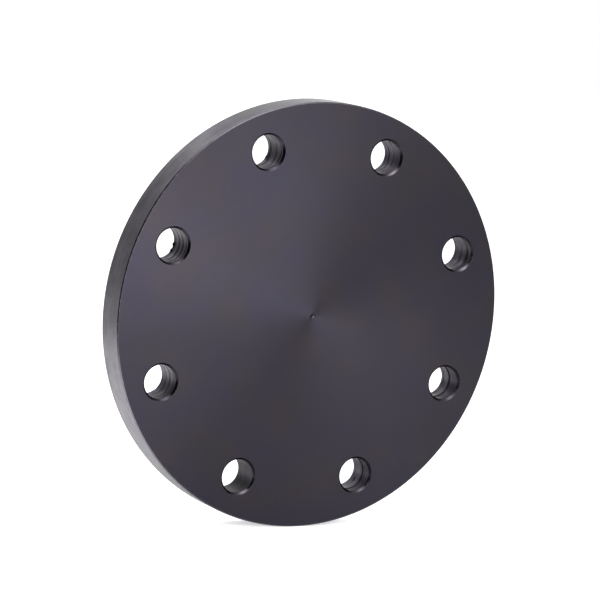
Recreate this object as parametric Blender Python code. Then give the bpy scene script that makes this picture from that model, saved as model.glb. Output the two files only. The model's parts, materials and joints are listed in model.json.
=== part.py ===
"""Blind flange: the solid round plate that closes the end of a pipe.

One turned steel plate with eight through holes for M16 bolts, broken edges and
a lathe centre mark on the outside face.  Units are metres and +Z is up.

The plate stands upright, as it would against a horizontal pipe.  Its axis is Y.
The gasket face is the plane y = 0 and looks toward +Y, and the outside face
looks toward -Y.  The bolt holes straddle the vertical centreline.
"""
import math

import bmesh
import bpy

# Driving dimensions
OUTER_DIAMETER = 0.220
BOLT_CIRCLE_DIAMETER = 0.180
BOLT_HOLE_DIAMETER = 0.018
BOLT_HOLE_COUNT = 8
THICKNESS = 0.018
RIM_CHAMFER = 0.0005
HOLE_CHAMFER = 0.00075
CENTRE_MARK_DIAMETER = 0.0024
CENTRE_MARK_ANGLE = math.radians(90.0)

# How far a cutting tool runs past the surface that it cuts
TOOL_OVERRUN = 0.002

# Flat facets that stand for each round surface
RIM_STEPS = 256
HOLE_STEPS = 64
CENTRE_MARK_STEPS = 32
SHARP_ANGLE = math.radians(30.0)

# Black-finished carbon steel with a satin turned surface
STEEL_COLOR = (0.105, 0.100, 0.115, 1.0)
STEEL_METALLIC = 0.85
STEEL_ROUGHNESS = 0.42


def clear_scene():
    """Remove every object that the file opened with."""
    for obj in list(bpy.data.objects):
        bpy.data.objects.remove(obj, do_unlink=True)


def add_object(name, bm):
    """Store a bmesh as a new object with outward normals."""
    bmesh.ops.recalc_face_normals(bm, faces=bm.faces)
    mesh = bpy.data.meshes.new(name)
    bm.to_mesh(mesh)
    bm.free()
    obj = bpy.data.objects.new(name, mesh)
    bpy.context.scene.collection.objects.link(obj)
    return obj


def add_turned_solid(bm, profile, steps, centre_x=0.0, centre_z=0.0):
    """Add a closed solid of revolution about an axis parallel to Y.

    The profile is a list of (radius, y) pairs.  A radius of zero gives a
    point on the axis, and any other end is closed by a flat disc.
    """
    rings = []
    for radius, y in profile:
        if radius == 0.0:
            rings.append([bm.verts.new((centre_x, y, centre_z))])
            continue
        ring = []
        for step in range(steps):
            angle = 2.0 * math.pi * step / steps
            x = centre_x + radius * math.cos(angle)
            z = centre_z + radius * math.sin(angle)
            ring.append(bm.verts.new((x, y, z)))
        rings.append(ring)

    for lower, upper in zip(rings, rings[1:]):
        for step in range(steps):
            after = (step + 1) % steps
            if len(lower) == 1:
                bm.faces.new((lower[0], upper[step], upper[after]))
            elif len(upper) == 1:
                bm.faces.new((lower[step], lower[after], upper[0]))
            else:
                bm.faces.new((lower[step], lower[after], upper[after], upper[step]))

    for ring in (rings[0], rings[-1]):
        if len(ring) > 1:
            bm.faces.new(ring)


def add_plate():
    """Turn the plate, with its rim chamfered on both sides."""
    radius = OUTER_DIAMETER / 2.0
    profile = [
        (radius - RIM_CHAMFER, -THICKNESS),
        (radius, -THICKNESS + RIM_CHAMFER),
        (radius, -RIM_CHAMFER),
        (radius - RIM_CHAMFER, 0.0),
    ]
    bm = bmesh.new()
    add_turned_solid(bm, profile, RIM_STEPS)
    return add_object("flange_plate", bm)


def add_bolt_hole_tools():
    """Make the drill shapes for all the bolt holes, countersunk at both ends."""
    radius = BOLT_HOLE_DIAMETER / 2.0
    flare = HOLE_CHAMFER + TOOL_OVERRUN
    profile = [
        (radius + flare, -THICKNESS - TOOL_OVERRUN),
        (radius, -THICKNESS + HOLE_CHAMFER),
        (radius, -HOLE_CHAMFER),
        (radius + flare, TOOL_OVERRUN),
    ]
    spacing = 2.0 * math.pi / BOLT_HOLE_COUNT
    bm = bmesh.new()
    for index in range(BOLT_HOLE_COUNT):
        angle = (index + 0.5) * spacing
        x = BOLT_CIRCLE_DIAMETER / 2.0 * math.cos(angle)
        z = BOLT_CIRCLE_DIAMETER / 2.0 * math.sin(angle)
        add_turned_solid(bm, profile, HOLE_STEPS, x, z)
    return add_object("bolt_hole_tools", bm)


def add_centre_mark_tool():
    """Make the pointed tool that leaves the centre mark on the outside face."""
    slope = math.tan(CENTRE_MARK_ANGLE / 2.0)
    depth = CENTRE_MARK_DIAMETER / 2.0 / slope
    tool_radius = (depth + TOOL_OVERRUN) * slope
    profile = [
        (tool_radius, -THICKNESS - TOOL_OVERRUN),
        (0.0, -THICKNESS + depth),
    ]
    bm = bmesh.new()
    add_turned_solid(bm, profile, CENTRE_MARK_STEPS)
    return add_object("centre_mark_tool", bm)


def cut(target, tools):
    """Cut the tools out of the target, then throw the tools away."""
    for tool in tools:
        modifier = target.modifiers.new(tool.name, "BOOLEAN")
        modifier.operation = "DIFFERENCE"
        modifier.solver = "EXACT"
        modifier.object = tool

    depsgraph = bpy.context.evaluated_depsgraph_get()
    result = bpy.data.meshes.new_from_object(target.evaluated_get(depsgraph))
    result.name = target.name
    target.modifiers.clear()
    target.data = result
    for tool in tools:
        bpy.data.objects.remove(tool, do_unlink=True)


def make_steel():
    """Return the plate's dark satin steel."""
    material = bpy.data.materials.new("dark_steel")
    material.use_nodes = True
    material.diffuse_color = STEEL_COLOR
    shader = material.node_tree.nodes["Principled BSDF"]
    shader.inputs["Base Color"].default_value = STEEL_COLOR
    shader.inputs["Metallic"].default_value = STEEL_METALLIC
    shader.inputs["Roughness"].default_value = STEEL_ROUGHNESS
    return material


def main():
    clear_scene()
    plate = add_plate()
    cut(plate, [add_bolt_hole_tools(), add_centre_mark_tool()])
    plate.data.materials.append(make_steel())
    plate.data.shade_smooth()
    plate.data.set_sharp_from_angle(angle=SHARP_ANGLE)


main()
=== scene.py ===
"""Looks of the blind flange: a turned, dark-finished steel plate with eight drilled bolt holes.

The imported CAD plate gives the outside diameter, the thickness and the places of the bolt holes.
One finely built mesh stands for it, with rounded edge breaks, drill rings in the bores, the lathe's
centre mark, and separate finishes for the turned faces, the rim, the rim's edge breaks, the hole
mouths and the bores. Everything is in metres, in the frame of the CAD plate: its axis is Y, the
front face looks along -Y, and +Z is up. Directions round a hole or round the plate are angles from
the right (+X), positive upwards.
"""

import json
import math
import random

import bmesh
import bpy
from mathutils import Matrix, Vector


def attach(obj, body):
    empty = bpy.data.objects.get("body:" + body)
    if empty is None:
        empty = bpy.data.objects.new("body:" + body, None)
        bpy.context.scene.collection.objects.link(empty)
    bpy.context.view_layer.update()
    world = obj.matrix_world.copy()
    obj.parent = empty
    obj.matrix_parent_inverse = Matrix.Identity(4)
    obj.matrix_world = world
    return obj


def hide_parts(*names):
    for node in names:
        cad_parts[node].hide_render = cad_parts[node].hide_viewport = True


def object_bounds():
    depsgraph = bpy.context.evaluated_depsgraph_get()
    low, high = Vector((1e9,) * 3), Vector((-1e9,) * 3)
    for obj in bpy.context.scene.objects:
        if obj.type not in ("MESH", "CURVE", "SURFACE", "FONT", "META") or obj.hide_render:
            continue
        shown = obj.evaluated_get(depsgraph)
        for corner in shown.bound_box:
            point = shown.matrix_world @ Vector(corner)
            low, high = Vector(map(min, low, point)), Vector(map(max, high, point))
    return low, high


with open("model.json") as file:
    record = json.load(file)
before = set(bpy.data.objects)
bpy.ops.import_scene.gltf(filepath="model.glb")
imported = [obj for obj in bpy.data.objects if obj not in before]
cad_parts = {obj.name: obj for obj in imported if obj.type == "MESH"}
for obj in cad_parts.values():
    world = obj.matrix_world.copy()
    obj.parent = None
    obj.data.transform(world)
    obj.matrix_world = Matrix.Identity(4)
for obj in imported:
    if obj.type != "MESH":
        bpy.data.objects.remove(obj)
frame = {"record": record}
cad_low, cad_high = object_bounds()

NODE = "flange_plate"
MM = 0.001

# Plate, read from the CAD frame
PLATE_RADIUS = (cad_high.x - cad_low.x) / 2.0
FRONT_Y = cad_low.y
BACK_Y = cad_high.y

# Rim's edge break, the bores with their mouths, and the small radius that rounds each corner
RIM_BREAK = 0.50 * MM
BORE_RADIUS = 8.72 * MM
MOUTH_RADIUS = 9.76 * MM
MOUTH_DEPTH = 1.06 * MM
EDGE_ROUNDING = 0.03 * MM

# Bands of flat face beside every edge and round each mouth, which keep the shading of the rounded
# corners off the rest of the face
SUPPORT_WIDTH = 0.06 * MM
BAND_WIDTH = 1.4 * MM

# Centre mark: a cone, with a painted highlight on one side and painted shade on the rest
CENTRE_MARK_RADIUS = 1.5 * MM
CENTRE_MARK_DEPTH = 1.3 * MM
MARK_GLINT = 0.3
MARK_SHADE = 0.35
MARK_GLINT_SIDE = -140.0    # degrees
MARK_GLINT_SPREAD = 60.0    # degrees

# Drill rings: lands stand just inside the drill's nominal 9 mm radius, with valleys cut between them
VALLEY_CUT = 0.26 * MM      # depth of a valley of full strength
RING_WANDER = (0.05, 0.3)   # height of a valley's wave round the bore (mm), least and most
RING_REACH = 0.74           # mean share of its strength that a valley has round the bore
RING_SWING = 0.16           # how much that share varies once round the bore
RING_RIPPLE = 0.10          # how much it varies four times round the bore
LOW_SIDE = -45.0            # degrees; valleys are deeper here, with more painted shade in them and more painted highlight on their lips
LOW_SIDE_SPREAD = 50.0      # degrees
LOW_SIDE_REACH = 0.22       # added to that share on the low side
LIP_SHIFT = 1.5             # a valley's lip, a painted highlight, lies this many half widths behind its middle
LIP_WIDTH = 0.7             # half width of the lip, as a share of the valley's
FILM_REACH = 6.5            # mm that the film of residue reaches in from the front face

# Ledges, spots and burrs in the bores
STEP_WANDER = 0.25          # mm that a ledge strays to and fro
STEP_SHIFT = 0.3            # mm that its dark line of painted shade lies in front of it
STEP_SHADE = 0.45         # strength of that painted shade
STEP_LIP_HIGHLIGHT = 0.6       # share of the painted highlight on the lips that is left in a bore with a ledge
STEP_FRESH = 0.80           # brightness of the fresh cut behind a ledge
SPOT_STRETCH = 1.6          # length of a spot round the bore, over its length along the bore
BURR_LENGTH = 1.3 * MM      # along the bore
BURR_DEPTH = BACK_Y - FRONT_Y - MOUTH_DEPTH - 0.4 * MM      # its middle, just short of the back mouth
BURR_RESIDUE = 1.4          # residue at a burr's middle, before it is held at 1

# Hole mouths: painted shade on their right, and a painted highlight in a bright arc below that; degrees
MOUTH_SHADE_SIDE = 20.0
MOUTH_SHADE_SPREAD = 55.0
GLINT_SIDE = -52.0
GLINT_SPREAD = 26.0

# What each bore shows, in the order of the record's openings. Lengths are in millimetres, directions
# in degrees, and all residue, painted shade and brightness are on a scale where 1 is full.
# film, mouth, glint: residue inside the front end, painted shade on the mouth's right side, brightness of
# the painted highlight in its arc;
# rings: depth, half width and strength of each valley that the drill left, which also sets the painted
# shade in it and the painted highlight on its lip;
# step: depth and height of the ledge where two drillings met, the front one wider, and the half
# width of its dark line of painted shade;
# spots: depth, direction, half width and strength of each spot of residue;
# burrs: direction, height and half width (degrees) of each burr, near the back edge.
BORES = (
    {"film": 0.10, "mouth": 0.45, "glint": 0.90,
     "rings": ((3.7, 1.7, 1.00), (9.9, 1.0, 0.55), (15.4, 0.6, 0.55))},
    {"film": 0.20, "mouth": 0.35, "glint": 1.00,
     "rings": ((1.8, 0.5, 0.30), (7.3, 1.0, 0.60), (12.1, 0.8, 0.70), (14.7, 0.5, 0.55))},
    {"film": 0.10, "mouth": 0.40, "glint": 0.30,
     "rings": ((2.6, 0.8, 0.75), (7.3, 1.1, 0.80), (13.5, 1.1, 0.95)),
     "spots": ((14.0, -28.0, 1.4, 1.3),),
     "burrs": ((-28.0, 0.35, 9.0),)},
    {"film": 0.05, "mouth": 0.45, "glint": 0.25,
     "rings": ((2.3, 0.8, 0.65), (6.1, 0.9, 0.95), (10.4, 1.2, 0.98), (15.4, 0.8, 0.90)),
     "burrs": ((-10.0, 0.75, 6.5), (-31.0, 0.60, 6.0))},
    {"film": 0.52, "mouth": 0.55, "glint": 0.40,
     "rings": ((1.6, 0.6, 0.50), (7.0, 1.2, 0.75), (11.8, 1.1, 0.65), (15.2, 0.4, 0.45)),
     "spots": ((6.0, -48.0, 1.0, 1.4), (10.2, -38.0, 0.8, 1.0)),
     "burrs": ((-62.0, 0.30, 7.0),)},
    {"film": 0.50, "mouth": 0.60, "glint": 0.90,
     "rings": ((2.5, 0.8, 0.40), (9.0, 14.0, 0.58), (10.5, 0.9, 0.40), (14.3, 0.7, 0.45)),
     "spots": ((10.0, -34.0, 1.2, 0.9), (12.5, -55.0, 0.8, 0.7))},
    {"film": 0.38, "mouth": 0.62, "glint": 0.40,
     "rings": ((4.9, 0.5, 0.30), (14.0, 0.5, 0.30)),
     "step": (7.6, 0.30, 1.0),
     "spots": ((12.7, -35.0, 0.7, 2.0),)},
    {"film": 0.20, "mouth": 0.60, "glint": 0.40,
     "rings": ((2.2, 0.6, 0.35), (6.0, 0.4, 0.30), (14.4, 0.8, 0.45)),
     "step": (9.3, 0.34, 1.3),
     "spots": ((14.6, -62.0, 1.2, 1.0),)},
)
HOLE_COUNT = len(BORES)

# Mesh density, and the radii of its rings. Each hole sits in a four-sided patch of face between the
# patch radii. The middle radii are nearer the plate's axis than any patch.
SIDE_STEPS = 32             # on each side of a patch
FILLET_STEPS = 4
BORE_STATIONS = 60
PATCH_INNER_RADIUS = 70.0 * MM
PATCH_OUTER_RADIUS = 104.5 * MM
MIDDLE_RADII = (20.0 * MM, 45.0 * MM)
WELD = 0.001 * MM           # vertices nearer than this are joined

# The plate's materials, in the order of its slots
FACE, RIM, EDGE, MOUTH, BORE = range(5)

# Colours of the dark steel
FACE_DARK = (0.0318, 0.0291, 0.0343, 1.0)
FACE_LIGHT = (0.0364, 0.0319, 0.0377, 1.0)
FACE_BLUE = (0.0317, 0.0291, 0.0402, 1.0)
RIM_DARK = (0.075, 0.070, 0.082, 1.0)
RIM_LIGHT = (0.165, 0.153, 0.175, 1.0)
EDGE_DARK = (0.084, 0.079, 0.093, 1.0)
EDGE_LIGHT = (0.114, 0.106, 0.126, 1.0)
MOUTH_DARK = (0.024, 0.021, 0.028, 1.0)
MOUTH_LIGHT = (0.035, 0.031, 0.039, 1.0)
MOUTH_TINT = (0.5, 0.5, 0.5, 1.0)
BORE_DARK = (0.044, 0.038, 0.053, 1.0)
BORE_LIGHT = (0.077, 0.066, 0.087, 1.0)
BORE_FILM = (0.026, 0.022, 0.034, 1.0)
FRESH_CUT_AND_HIGHLIGHT = (0.106, 0.095, 0.116, 1.0)
RESIDUE_AND_SHADE = (0.005, 0.005, 0.007, 1.0)

# Spans of a noise texture's value, most of it or only its middle, and the whole span of a factor
MOST = (0.3, 0.7)
MIDDLE = (0.35, 0.65)
WHOLE = (0.0, 1.0)

# Camera: azimuth 0 looks along +Y and a negative one stands further left; distance and clipping in
# metres, lens and sensor in millimetres
CAMERA_AZIMUTH = math.radians(-29.43)
CAMERA_ELEVATION = math.radians(7.77)
CAMERA_ROLL = math.radians(-5.48)
CAMERA_DISTANCE = 1.4954
CAMERA_LENS = 175.55
SENSOR_WIDTH = 36.0
CAMERA_CLIP = (0.05, 50.0)

# The camera's aim: depth on the plate's axis, then moved across and up in the picture
AIM_DEPTH = FRONT_Y + 0.5 * MM
AIM_RIGHT = -6.27 * MM
AIM_UP = 8.36 * MM

# Light of the world: even, with more from overhead and less from the right.
# The two ranges are of z and x of the unit direction that the light comes from.
WORLD_LIGHT = 0.50
OVERHEAD_LIGHT = 1.00
OVERHEAD_RANGE = (0.4, 1.0)
RIGHT_SHARE = 0.15
RIGHT_RANGE = (0.55, 0.90)
WHITE = (1.0, 1.0, 1.0, 1.0)

# Softboxes that face the middle of the back face: name, place (m), size (m), power (W)
SOFTBOXES = (
    ("left_front", (-0.088, -0.286, 0.022), 0.15, 0.62),
    ("mid_front", (-0.063, -0.282, 0.080), 0.15, 0.21),
    ("near_top", (0.040, -0.182, 0.073), 0.10, 0.142),
    ("near_low", (-0.017, -0.191, -0.058), 0.10, 0.062),
    ("right_front", (0.150, -0.450, 0.100), 0.30, 0.37),
    ("right_high", (0.294, -0.261, 0.219), 0.30, 0.34),
    ("over_front", (0.00, -0.30, 0.85), 0.45, 1.37),
    ("over_left", (-0.20, -0.40, 0.70), 0.45, 0.28),
    ("back_left", (-0.20, 0.40, 0.60), 0.40, 1.45),
    ("back_right", (0.60, 0.60, 0.30), 0.50, 0.77),
    ("back_mid", (0.29, 0.78, 0.32), 0.25, 0.12),
)
# Lamps that face straight down, and light the rim from below off the floor; listed the same way
FLOOR_LAMPS = (
    ("floor_back", (-0.17, 0.20, -0.080), 0.30, 0.29),
    ("floor_left", (-0.18, -0.08, -0.090), 0.16, 0.20),
)

# Floor, and the black card that stands on it with its middle at FLAG_PLACE (x, y); metres
FLOOR_RADIUS = 4.0
FLOOR_SEGMENTS = 96
FLOOR_GAP = 0.0003
FLOOR_LIFT = 0.56           # glow that only the camera sees, so that the floor is near white
FLOOR_DARK = (0.78, 0.78, 0.79, 1.0)
FLOOR_LIGHT = (0.82, 0.82, 0.82, 1.0)
FLAG_PLACE = (-0.39, -0.22)
FLAG_WIDTH = 0.40
FLAG_TOP = 0.52
FLAG_DARK = (0.004, 0.004, 0.004, 1.0)
FLAG_LIGHT = (0.008, 0.008, 0.008, 1.0)


# ---------------------------------------------------------------- mesh


def hole_centres():
    """Return (x, z) of each bolt hole, from the openings that the record names bolt_hole_1 and so on."""
    centres = []
    for opening in frame["record"]["physics"]["openings"]:
        if opening["name"].count("_") == 2:
            low, high = opening["box_m"]
            centres.append(((low[0] + high[0]) / 2.0, (low[2] + high[2]) / 2.0))
    return centres


def hump(value, width):
    """A smooth hump: 1 at zero, falling to 0 on both sides."""
    return math.exp(-((value / width) ** 2))


def degrees_from(angle, direction):
    """Degrees from a direction (degrees) to an angle (radians), between -180 and 180."""
    return (math.degrees(angle) - direction + 180.0) % 360.0 - 180.0


def filleted(corners, radius):
    """Round every inner corner of an open (radius, y) outline with an arc of a given radius."""
    outline = [corners[0]]
    for before, corner, after in zip(corners, corners[1:], corners[2:]):
        corner_v = Vector(corner)
        to_before = (Vector(before) - corner_v).normalized()
        to_after = (Vector(after) - corner_v).normalized()
        half = to_before.angle(to_after) / 2.0
        setback = radius / math.tan(half)
        centre = corner_v + (to_before + to_after).normalized() * radius / math.sin(half)
        start = corner_v + to_before * setback - centre
        end = corner_v + to_after * setback - centre
        sweep = start.angle(end)
        for step in range(FILLET_STEPS + 1):
            t = step / FILLET_STEPS
            arm = start * math.sin((1.0 - t) * sweep) + end * math.sin(t * sweep)
            outline.append(tuple(centre + arm / math.sin(sweep)))
    outline.append(corners[-1])
    return outline


def mirrored(outline):
    """The same outline at the back face, in the order that continues from the front one."""
    return [(radius, BACK_Y - (y - FRONT_Y)) for radius, y in reversed(outline)]


def bridge(bm, first, second, material):
    """Join two equal rows of vertices with quads, or with triangles where one row is a point."""
    count = max(len(first), len(second))
    for i in range(count):
        j = (i + 1) % count
        if len(first) == 1:
            corners = (first[0], second[j], second[i])
        elif len(second) == 1:
            corners = (first[i], first[j], second[0])
        else:
            corners = (first[i], first[j], second[j], second[i])
        bm.faces.new(corners).material_index = material


def bridge_all(bm, rows, material):
    """Join each row of vertices to the next."""
    for first, second in zip(rows, rows[1:]):
        bridge(bm, first, second, material)


def plate_ring(bm, radius, y):
    """Add a ring of vertices round the plate's axis."""
    if radius == 0.0:
        return [bm.verts.new((0.0, y, 0.0))]
    steps = SIDE_STEPS * HOLE_COUNT
    angles = [2.0 * math.pi * i / steps for i in range(steps)]
    return [bm.verts.new((radius * math.cos(a), y, radius * math.sin(a))) for a in angles]


def lathe(bm, outline, material):
    """Turn an outline of (radius, y) round the plate's axis."""
    bridge_all(bm, [plate_ring(bm, radius, y) for radius, y in outline], material)


def patch_boundary(centre_angle):
    """Walk round the piece of face that surrounds one bolt hole, four equal sides in turn."""
    half = math.pi / HOLE_COUNT
    depth = PATCH_OUTER_RADIUS - PATCH_INNER_RADIUS
    points = []
    for side in range(4):
        for step in range(SIDE_STEPS):
            t = step / SIDE_STEPS
            radius, angle = (
                (PATCH_INNER_RADIUS, -half + 2.0 * half * t),
                (PATCH_INNER_RADIUS + depth * t, half),
                (PATCH_OUTER_RADIUS, half - 2.0 * half * t),
                (PATCH_OUTER_RADIUS - depth * t, -half),
            )[side]
            angle += centre_angle
            points.append((radius * math.cos(angle), radius * math.sin(angle)))
    return points


def bore_directions(centre_angle):
    """Unit directions from a hole's axis, with their angles, in step with patch_boundary."""
    count = 4 * SIDE_STEPS
    first = centre_angle + math.radians(225.0)
    angles = [first - 2.0 * math.pi * i / count for i in range(count)]
    return [(math.cos(a), math.sin(a), a) for a in angles]


class BoreWall:
    """The drilled wall of one hole: its offset from the bore's radius, and what it carries."""

    def __init__(self, details, draw):
        self.film = details["film"]
        self.mouth = details["mouth"]
        self.glint = details["glint"]
        self.step = details.get("step")
        self.spots = details.get("spots", ())
        self.burrs = details.get("burrs", ())
        self.rings = [
            (place, width, strength, draw.uniform(0.0, 2.0 * math.pi), draw.uniform(*RING_WANDER))
            for place, width, strength in details["rings"]]
        self.step_phase = draw.uniform(0.0, 2.0 * math.pi)

    def at(self, depth, angle):
        """Return (offset from the bore's radius, residue and painted shade, fresh cut and painted
        highlight) at a depth and an angle.
        """
        depth_mm = depth / MM
        valley = 0.0
        fresh_cut_and_highlight = 0.0
        for place, width, strength, phase, wander in self.rings:
            centre = place + wander * (math.sin(2.0 * angle + phase) + 0.4 * math.sin(5.0 * angle))
            reach = RING_REACH + RING_SWING * math.sin(angle + 1.7 * phase)
            reach += RING_RIPPLE * math.sin(4.0 * angle + phase)
            reach += LOW_SIDE_REACH * hump(degrees_from(angle, LOW_SIDE), LOW_SIDE_SPREAD)
            # A valley's strength sets its depth and its painted shade; the bright lip behind it is a
            # painted highlight
            valley = max(valley, strength * reach * hump(depth_mm - centre, width))
            lip = hump(depth_mm - centre - LIP_SHIFT * width, LIP_WIDTH * width)
            fresh_cut_and_highlight = max(fresh_cut_and_highlight, strength * reach * lip)
        offset = VALLEY_CUT * valley
        # Painted shade in the valleys, or the film of residue near the front, whichever is darker
        residue_and_shade = max(valley, self.film * hump(depth_mm, FILM_REACH))
        if self.step:
            place, height, width = self.step
            place += STEP_WANDER * math.sin(angle + self.step_phase)
            in_front = 1.0 if depth_mm < place else 0.0
            offset += height * MM * in_front
            # Painted shade: a dark line just in front of the ledge
            residue_and_shade = max(residue_and_shade, STEP_SHADE * hump(depth_mm - place + STEP_SHIFT, width))
            fresh_cut_and_highlight = max(STEP_LIP_HIGHLIGHT * fresh_cut_and_highlight, STEP_FRESH * (1.0 - in_front))
        for place, direction, width, strength in self.spots:
            along = math.radians(degrees_from(angle, direction)) * BORE_RADIUS / MM / SPOT_STRETCH
            residue_and_shade = max(residue_and_shade, strength * hump(math.hypot(along, depth_mm - place), width))
        for direction, height, width in self.burrs:
            burr = hump(degrees_from(angle, direction), width) * hump(depth - BURR_DEPTH, BURR_LENGTH / 2.0)
            offset -= height * MM * burr
            residue_and_shade = max(residue_and_shade, min(1.0, BURR_RESIDUE * burr))
        return offset, residue_and_shade, fresh_cut_and_highlight


def add_hole(bm, centre, wall):
    """Build one bolt hole with the faces round it, from the front face to the back face."""
    x0, z0 = centre
    centre_angle = math.atan2(z0, x0)
    directions = bore_directions(centre_angle)
    boundary = patch_boundary(centre_angle)
    residue_and_shade_layer = bm.verts.layers.float["residue_and_shade"]
    fresh_cut_and_highlight_layer = bm.verts.layers.float["fresh_cut_and_highlight"]

    def circle(radius, y):
        return [bm.verts.new((x0 + radius * c, y, z0 + radius * s)) for c, s, _ in directions]

    # Faces round the hole, front and back, in bands that pass from the mouth to the patch's boundary
    start = MOUTH_RADIUS + BAND_WIDTH
    for y in (FRONT_Y, BACK_Y):
        rows = [circle(MOUTH_RADIUS + SUPPORT_WIDTH, y), circle(start, y)]
        for t in (1.0 / 3.0, 2.0 / 3.0, 1.0):
            rows.append([
                bm.verts.new((
                    (x0 + start * c) * (1.0 - t) + bx * t, y, (z0 + start * s) * (1.0 - t) + bz * t))
                for (c, s, _), (bx, bz) in zip(directions, boundary)])
        bridge_all(bm, rows, FACE)

    # Mouths
    edge = filleted(
        [(MOUTH_RADIUS + SUPPORT_WIDTH, FRONT_Y), (MOUTH_RADIUS, FRONT_Y),
         (BORE_RADIUS, FRONT_Y + MOUTH_DEPTH), (BORE_RADIUS, FRONT_Y + 2.0 * MOUTH_DEPTH)],
        EDGE_ROUNDING)[:-1]
    front_rows = [circle(radius, y) for radius, y in edge]
    back_rows = [circle(radius, y) for radius, y in mirrored(edge)]
    # Painted shade on each mouth's right side, and a painted highlight in an arc below it
    for row in front_rows[1:]:
        for vert, (_, _, angle) in zip(row, directions):
            vert[residue_and_shade_layer] = wall.mouth * hump(degrees_from(angle, MOUTH_SHADE_SIDE), MOUTH_SHADE_SPREAD)
            vert[fresh_cut_and_highlight_layer] = wall.glint * hump(degrees_from(angle, GLINT_SIDE), GLINT_SPREAD)

    # Wall between the mouths
    low = edge[-1][1]
    high = BACK_Y - (low - FRONT_Y)
    walls = []
    for station in range(1, BORE_STATIONS):
        y = low + (high - low) * station / BORE_STATIONS
        row = []
        for c, s, angle in directions:
            offset, residue_and_shade, fresh_cut_and_highlight = wall.at(y - FRONT_Y, angle)
            radius = BORE_RADIUS + offset
            vert = bm.verts.new((x0 + radius * c, y, z0 + radius * s))
            vert[residue_and_shade_layer] = residue_and_shade
            vert[fresh_cut_and_highlight_layer] = fresh_cut_and_highlight
            row.append(vert)
        walls.append(row)
    bridge_all(bm, front_rows, MOUTH)
    bridge_all(bm, front_rows[-1:] + walls + back_rows[:1], BORE)
    bridge_all(bm, back_rows, MOUTH)


def add_centre_mark(bm):
    """Build the lathe's centre mark, and return the radius where the flat face begins."""
    outline = filleted(
        [(0.0, FRONT_Y + CENTRE_MARK_DEPTH), (CENTRE_MARK_RADIUS, FRONT_Y),
         (CENTRE_MARK_RADIUS + SUPPORT_WIDTH, FRONT_Y)], EDGE_ROUNDING)
    residue_and_shade_layer = bm.verts.layers.float["residue_and_shade"]
    fresh_cut_and_highlight_layer = bm.verts.layers.float["fresh_cut_and_highlight"]
    known = len(bm.verts)
    lathe(bm, outline, MOUTH)
    bm.verts.ensure_lookup_table()
    for vert in bm.verts[known:]:
        # Painted highlight on one side of the cone, and painted shade on the rest
        away = degrees_from(math.atan2(vert.co.z, vert.co.x), MARK_GLINT_SIDE)
        lit = hump(away, MARK_GLINT_SPREAD)
        vert[fresh_cut_and_highlight_layer] = MARK_GLINT * lit
        vert[residue_and_shade_layer] = MARK_SHADE * (1.0 - lit)
    return outline[-1][0]


def build_plate():
    """Build the whole visible plate as one mesh.

    The mesh isn't closed. The record rounds the hole centres, so each patch of face lies a few
    micrometres off its neighbours and the rings beside it, more than WELD, and its border stays open.
    """
    draw = random.Random(7)
    bm = bmesh.new()
    bm.verts.layers.float.new("residue_and_shade")
    bm.verts.layers.float.new("fresh_cut_and_highlight")
    for centre, details in zip(hole_centres(), BORES):
        add_hole(bm, centre, BoreWall(details, draw))

    # Middle of the front face, with the centre mark, and of the back face
    mark_radius = add_centre_mark(bm)
    for inner, y in ((mark_radius, FRONT_Y), (0.0, BACK_Y)):
        lathe(bm, [(radius, y) for radius in (inner, *MIDDLE_RADII, PATCH_INNER_RADIUS)], FACE)

    # Outer band of both faces, edge breaks and rim
    flat = PLATE_RADIUS - RIM_BREAK
    front_edge = filleted(
        [(flat - SUPPORT_WIDTH, FRONT_Y), (flat, FRONT_Y), (PLATE_RADIUS, FRONT_Y + RIM_BREAK),
         (PLATE_RADIUS, FRONT_Y + 2.0 * RIM_BREAK)], EDGE_ROUNDING)
    back_edge = mirrored(front_edge)
    for y in (FRONT_Y, BACK_Y):
        lathe(bm, [(PATCH_OUTER_RADIUS, y), (flat - SUPPORT_WIDTH, y)], FACE)
    lathe(bm, front_edge, EDGE)
    lathe(bm, [front_edge[-1], (PLATE_RADIUS, (FRONT_Y + BACK_Y) / 2.0), back_edge[0]], RIM)
    lathe(bm, back_edge, EDGE)

    bmesh.ops.remove_doubles(bm, verts=bm.verts, dist=WELD)
    bmesh.ops.recalc_face_normals(bm, faces=bm.faces)
    for face in bm.faces:
        face.smooth = True
    mesh = bpy.data.meshes.new("turned_plate")
    bm.to_mesh(mesh)
    bm.free()
    plate = bpy.data.objects.new("turned_plate", mesh)
    bpy.context.scene.collection.objects.link(plate)
    return plate


# ---------------------------------------------------------------- materials


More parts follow.
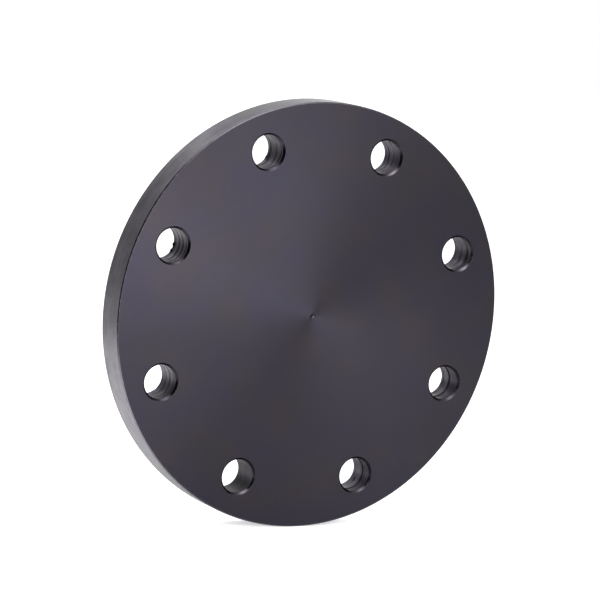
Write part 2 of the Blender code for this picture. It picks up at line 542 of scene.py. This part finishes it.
class Nodes:
    """Short helpers for building a node tree."""

    def __init__(self, tree):
        self.tree = tree

    def node(self, kind, **settings):
        """Add a node of a kind, with its settings."""
        node = self.tree.nodes.new(kind)
        for key, value in settings.items():
            setattr(node, key, value)
        return node

    def link(self, source, target):
        """Link an output to an input."""
        self.tree.links.new(source, target)

    def feed(self, sockets, values):
        """Give each socket its number or colour, or a link from another node's output."""
        for socket, value in zip(sockets, values):
            if isinstance(value, (int, float, tuple)):
                socket.default_value = value
            else:
                self.link(value, socket)

    def place(self):
        """The position in the object's own frame."""
        return self.node("ShaderNodeTexCoord").outputs["Object"]

    def split(self, vector):
        """The x, y and z of a vector."""
        node = self.node("ShaderNodeSeparateXYZ")
        self.link(vector, node.inputs[0])
        return node.outputs

    def combine(self, x, y, z):
        """A vector from its x, y and z."""
        node = self.node("ShaderNodeCombineXYZ")
        self.feed(node.inputs, (x, y, z))
        return node.outputs[0]

    def attribute(self, name):
        """A number that the mesh stores on its vertices."""
        return self.node("ShaderNodeAttribute", attribute_name=name).outputs["Fac"]

    def camera_ray(self):
        """1 for a ray straight from the camera, else 0."""
        return self.node("ShaderNodeLightPath").outputs["Is Camera Ray"]

    def math(self, operation, a, b=0.0):
        """An operation on one or two numbers."""
        node = self.node("ShaderNodeMath", operation=operation)
        self.feed(node.inputs, (a, b))
        return node.outputs[0]

    def scaled(self, vector, x, y, z):
        """A vector with each of its parts multiplied by a number."""
        parts = zip(self.split(vector), (x, y, z))
        return self.combine(*(self.math("MULTIPLY", part, factor) for part, factor in parts))

    def noise(self, vector, scale, detail, roughness):
        """A fractal noise texture at a place."""
        node = self.node("ShaderNodeTexNoise")
        self.link(vector, node.inputs["Vector"])
        node.inputs["Scale"].default_value = scale
        node.inputs["Detail"].default_value = detail
        node.inputs["Roughness"].default_value = roughness
        return node.outputs["Fac"]

    def remap(self, value, span, result, interpolation="LINEAR"):
        """Map one span of a value to a span of the result, and hold it at the ends."""
        node = self.node("ShaderNodeMapRange", clamp=True, interpolation_type=interpolation)
        sockets = [node.inputs[key] for key in ("Value", "From Min", "From Max", "To Min", "To Max")]
        self.feed(sockets, (value, *span, *result))
        return node.outputs["Result"]

    def mix(self, factor, a, b):
        """Mix two colours."""
        node = self.node("ShaderNodeMix", data_type="RGBA")
        self.link(factor, node.inputs["Factor"])
        self.feed([socket for socket in node.inputs if socket.type == "RGBA"], (a, b))
        return [socket for socket in node.outputs if socket.type == "RGBA"][0]

    def bump(self, height, distance):
        """The normal of a surface raised by a height field whose full range is a distance in metres."""
        node = self.node("ShaderNodeBump")
        node.inputs["Strength"].default_value = 1.0
        node.inputs["Distance"].default_value = distance
        self.link(height, node.inputs["Height"])
        return node.outputs["Normal"]


def new_material(name, constants):
    """Start a material, and return it with its node helpers and the sockets of its shader."""
    material = bpy.data.materials.new(name)
    material.use_nodes = True
    shader = material.node_tree.nodes["Principled BSDF"].inputs
    for key, value in constants.items():
        shader[key].default_value = value
    return material, Nodes(material.node_tree), shader


def face_material():
    """Dark satin steel, faced on a lathe: fine rings, and a sheen that runs out from the centre."""
    material, n, shader = new_material(
        "turned_face", {"Metallic": 1.0, "Anisotropic": 0.7, "Anisotropic Rotation": 0.25})
    place = n.place()
    x, y, z = n.split(place)
    radius = n.math("SQRT", n.math("ADD", n.math("MULTIPLY", x, x), n.math("MULTIPLY", z, z)))
    tone = n.noise(place, 22.0, 3.0, 0.55)
    rings = n.noise(n.combine(radius, 0.0, 0.0), 1400.0, 2.0, 0.6)
    blue = n.noise(n.combine(n.math("ADD", x, 0.5), y, n.math("ADD", z, 0.2)), 42.0, 1.0, 0.4)
    steel = n.mix(n.remap(tone, MOST, WHOLE), FACE_DARK, FACE_LIGHT)
    steel = n.mix(n.remap(blue, MIDDLE, WHOLE), steel, FACE_BLUE)
    rough = n.math("ADD", n.remap(rings, MOST, (0.47, 0.51)), n.remap(tone, MOST, (-0.015, 0.015)))
    tangent = n.node("ShaderNodeTangent", direction_type="RADIAL", axis="Y").outputs[0]
    n.link(steel, shader["Base Color"])
    n.link(rough, shader["Roughness"])
    n.link(n.bump(rings, 0.0010 * MM), shader["Normal"])
    n.link(tangent, shader["Tangent"])
    return material


def rim_material():
    """The same steel turned across the rim: brighter, with tool marks that run round it."""
    material, n, shader = new_material("turned_rim", {"Metallic": 1.0})
    place = n.place()
    tone = n.noise(place, 110.0, 4.0, 0.6)
    marks = n.noise(n.scaled(place, 18.0, 560.0, 18.0), 1.0, 4.0, 0.7)
    blend = n.math("ADD", n.remap(tone, MIDDLE, (0.0, 0.5)), n.remap(marks, MIDDLE, (0.0, 0.5)))
    n.link(n.mix(blend, RIM_DARK, RIM_LIGHT), shader["Base Color"])
    n.link(n.remap(marks, MOST, (0.28, 0.38)), shader["Roughness"])
    n.link(n.bump(marks, 0.0015 * MM), shader["Normal"])
    return material


def edge_material():
    """The rim's edge breaks, filed smooth."""
    material, n, shader = new_material("edge_break", {"Metallic": 1.0})
    tone = n.noise(n.place(), 400.0, 3.0, 0.55)
    n.link(n.mix(n.remap(tone, MOST, WHOLE), EDGE_DARK, EDGE_LIGHT), shader["Base Color"])
    n.link(n.remap(tone, MOST, (0.22, 0.30)), shader["Roughness"])
    return material


def mouth_material():
    """The edge breaks of the bolt holes and the centre mark: dark, with painted shade on one side and a
    painted highlight on the other.
    """
    material, n, shader = new_material(
        "hole_mouth", {"Metallic": 1.0, "Specular Tint": MOUTH_TINT})
    tone = n.noise(n.place(), 500.0, 3.0, 0.55)
    steel = n.mix(n.remap(tone, MOST, WHOLE), MOUTH_DARK, MOUTH_LIGHT)
    # Painted shade from one attribute, then painted highlights from the other
    steel = n.mix(n.remap(n.attribute("residue_and_shade"), (0.05, 0.85), WHOLE), steel, RESIDUE_AND_SHADE)
    steel = n.mix(n.attribute("fresh_cut_and_highlight"), steel, FRESH_CUT_AND_HIGHLIGHT)
    n.link(steel, shader["Base Color"])
    n.link(n.remap(tone, MOST, (0.20, 0.30)), shader["Roughness"])
    return material


def bore_material():
    """Drilled steel: fine lines round the bore, residue, painted shade in the valleys, painted highlights
    on their lips, and brighter fresh cuts.
    """
    material, n, shader = new_material("drilled_bore", {"Metallic": 1.0})
    place = n.place()
    _, y, _ = n.split(place)
    tone = n.noise(place, 420.0, 4.0, 0.6)
    lines = n.noise(n.scaled(place, 90.0, 1150.0, 90.0), 1.0, 4.0, 0.7)
    film = n.remap(y, (FRONT_Y + 2.0 * MM, FRONT_Y + 11.0 * MM), (0.20, 0.0))
    # Fresh cuts, and painted highlights on the valleys' lips
    fresh_cut_and_highlight = n.math("MULTIPLY", n.attribute("fresh_cut_and_highlight"), n.remap(tone, (0.25, 0.6), (0.5, 1.0)))
    # Residue, with painted shade in the valleys and at the ledges
    residue_and_shade = n.math("MULTIPLY", n.remap(n.attribute("residue_and_shade"), (0.05, 0.75), WHOLE),
                     n.remap(lines, (0.38, 0.62), (0.72, 1.14)))
    steel = n.mix(n.remap(tone, MOST, WHOLE), BORE_DARK, BORE_LIGHT)
    steel = n.mix(film, steel, BORE_FILM)
    steel = n.mix(fresh_cut_and_highlight, steel, FRESH_CUT_AND_HIGHLIGHT)
    steel = n.mix(n.remap(lines, (0.50, 0.68), (0.0, 0.70)), steel, RESIDUE_AND_SHADE)
    steel = n.mix(residue_and_shade, steel, RESIDUE_AND_SHADE)
    n.link(steel, shader["Base Color"])
    n.link(n.remap(tone, MOST, (0.34, 0.48)), shader["Roughness"])
    n.link(n.bump(lines, 0.006 * MM), shader["Normal"])
    return material


def matt_material(name, scale, detail, dark, light):
    """A matt painted surface with a faint mottle, for the stage."""
    material, n, shader = new_material(name, {"Roughness": 0.9, "Specular IOR Level": 0.1})
    n.link(n.mix(n.noise(n.place(), scale, detail, 0.6), dark, light), shader["Base Color"])
    return material, n, shader


# ---------------------------------------------------------------- stage


def add_camera():
    """Place the camera by its angles round the plate, and make it the scene's."""
    a, e = CAMERA_AZIMUTH, CAMERA_ELEVATION
    back = Vector((math.sin(a) * math.cos(e), -math.cos(a) * math.cos(e), math.sin(e)))
    level = back.to_track_quat("Z", "Y").to_matrix()
    turn = level @ Matrix.Rotation(-CAMERA_ROLL, 3, "Z")
    right, up = turn.col[0], turn.col[1]
    aim = Vector((0.0, AIM_DEPTH, 0.0)) + right * AIM_RIGHT + up * AIM_UP
    camera = bpy.data.objects.new("camera", bpy.data.cameras.new("camera"))
    camera.data.lens = CAMERA_LENS
    camera.data.sensor_width = SENSOR_WIDTH
    camera.data.clip_start, camera.data.clip_end = CAMERA_CLIP
    camera.matrix_world = Matrix.Translation(aim + back * CAMERA_DISTANCE) @ turn.to_4x4()
    bpy.context.scene.collection.objects.link(camera)
    bpy.context.scene.camera = camera


def add_softbox(name, place, aim, size, power):
    """Add a square softbox that shines from a place towards an aim."""
    light = bpy.data.lights.new(name, "AREA")
    light.shape = "SQUARE"
    light.size = size
    light.energy = power
    softbox = bpy.data.objects.new(name, light)
    softbox.location = place
    softbox.rotation_mode = "QUATERNION"
    softbox.rotation_quaternion = (Vector(place) - Vector(aim)).to_track_quat("Z", "Y")
    softbox.visible_camera = False
    bpy.context.scene.collection.objects.link(softbox)


def add_world():
    """White to the camera. To all else, soft light that grows overhead and fades to the right."""
    world = bpy.data.worlds.new("studio")
    bpy.context.scene.world = world
    world.use_nodes = True
    background = world.node_tree.nodes["Background"].inputs
    n = Nodes(world.node_tree)
    x, _, z = n.split(n.node("ShaderNodeTexCoord").outputs["Generated"])
    overhead = n.remap(z, OVERHEAD_RANGE, (0.0, OVERHEAD_LIGHT), "SMOOTHSTEP")
    share = n.remap(x, RIGHT_RANGE, (1.0, RIGHT_SHARE), "SMOOTHSTEP")
    light = n.math("MULTIPLY", n.math("ADD", WORLD_LIGHT, overhead), share)
    pick = n.node("ShaderNodeMix")
    n.feed([pick.inputs[key] for key in ("Factor", "A", "B")], (n.camera_ray(), light, 1.0))
    background["Color"].default_value = WHITE
    n.link(pick.outputs["Result"], background["Strength"])


def add_object(name, bm, material):
    """Make an object with one material from a finished bmesh."""
    mesh = bpy.data.meshes.new(name)
    bm.to_mesh(mesh)
    bm.free()
    mesh.materials.append(material)
    piece = bpy.data.objects.new(name, mesh)
    bpy.context.scene.collection.objects.link(piece)
    return piece


def add_floor():
    """A wide pale disc just below the plate, which the camera sees as near white."""
    material, n, shader = matt_material("pale_floor", 3.0, 4.0, FLOOR_DARK, FLOOR_LIGHT)
    shader["Emission Color"].default_value = WHITE
    n.link(n.math("MULTIPLY", n.camera_ray(), FLOOR_LIFT), shader["Emission Strength"])
    bm = bmesh.new()
    bmesh.ops.create_circle(bm, cap_ends=True, segments=FLOOR_SEGMENTS, radius=FLOOR_RADIUS)
    floor = add_object("floor", bm, material)
    floor.location = (0.0, 0.0, cad_low.z - FLOOR_GAP)


def add_flag():
    """A black card on the floor at the left, which gives the edges facing it their dark line."""
    material, _, _ = matt_material("black_card", 40.0, 3.0, FLAG_DARK, FLAG_LIGHT)
    direction = Vector((FLAG_PLACE[0], FLAG_PLACE[1], 0.0)).normalized()
    side = Vector((-direction.y, direction.x, 0.0)) * FLAG_WIDTH / 2.0
    foot = Vector((FLAG_PLACE[0], FLAG_PLACE[1], cad_low.z - FLOOR_GAP))
    top = Vector((FLAG_PLACE[0], FLAG_PLACE[1], FLAG_TOP))
    bm = bmesh.new()
    bm.faces.new([bm.verts.new(p) for p in (foot - side, foot + side, top + side, top - side)])
    flag = add_object("flag", bm, material)
    flag.visible_camera = False


def add_stage():
    """Set up the world, the floor, the card, the lamps and plain colour output."""
    add_world()
    add_floor()
    add_flag()
    for name, place, size, power in SOFTBOXES:
        add_softbox(name, place, (0.0, 0.0, 0.0), size, power)
    for name, place, size, power in FLOOR_LAMPS:
        add_softbox(name, place, (place[0], place[1], cad_low.z), size, power)
    scene = bpy.context.scene
    scene.view_settings.view_transform = "Standard"
    scene.view_settings.look = "None"


plate = build_plate()
for make in (face_material, rim_material, edge_material, mouth_material, bore_material):
    plate.data.materials.append(make())
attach(plate, "root")
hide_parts(NODE)
add_camera()
add_stage()
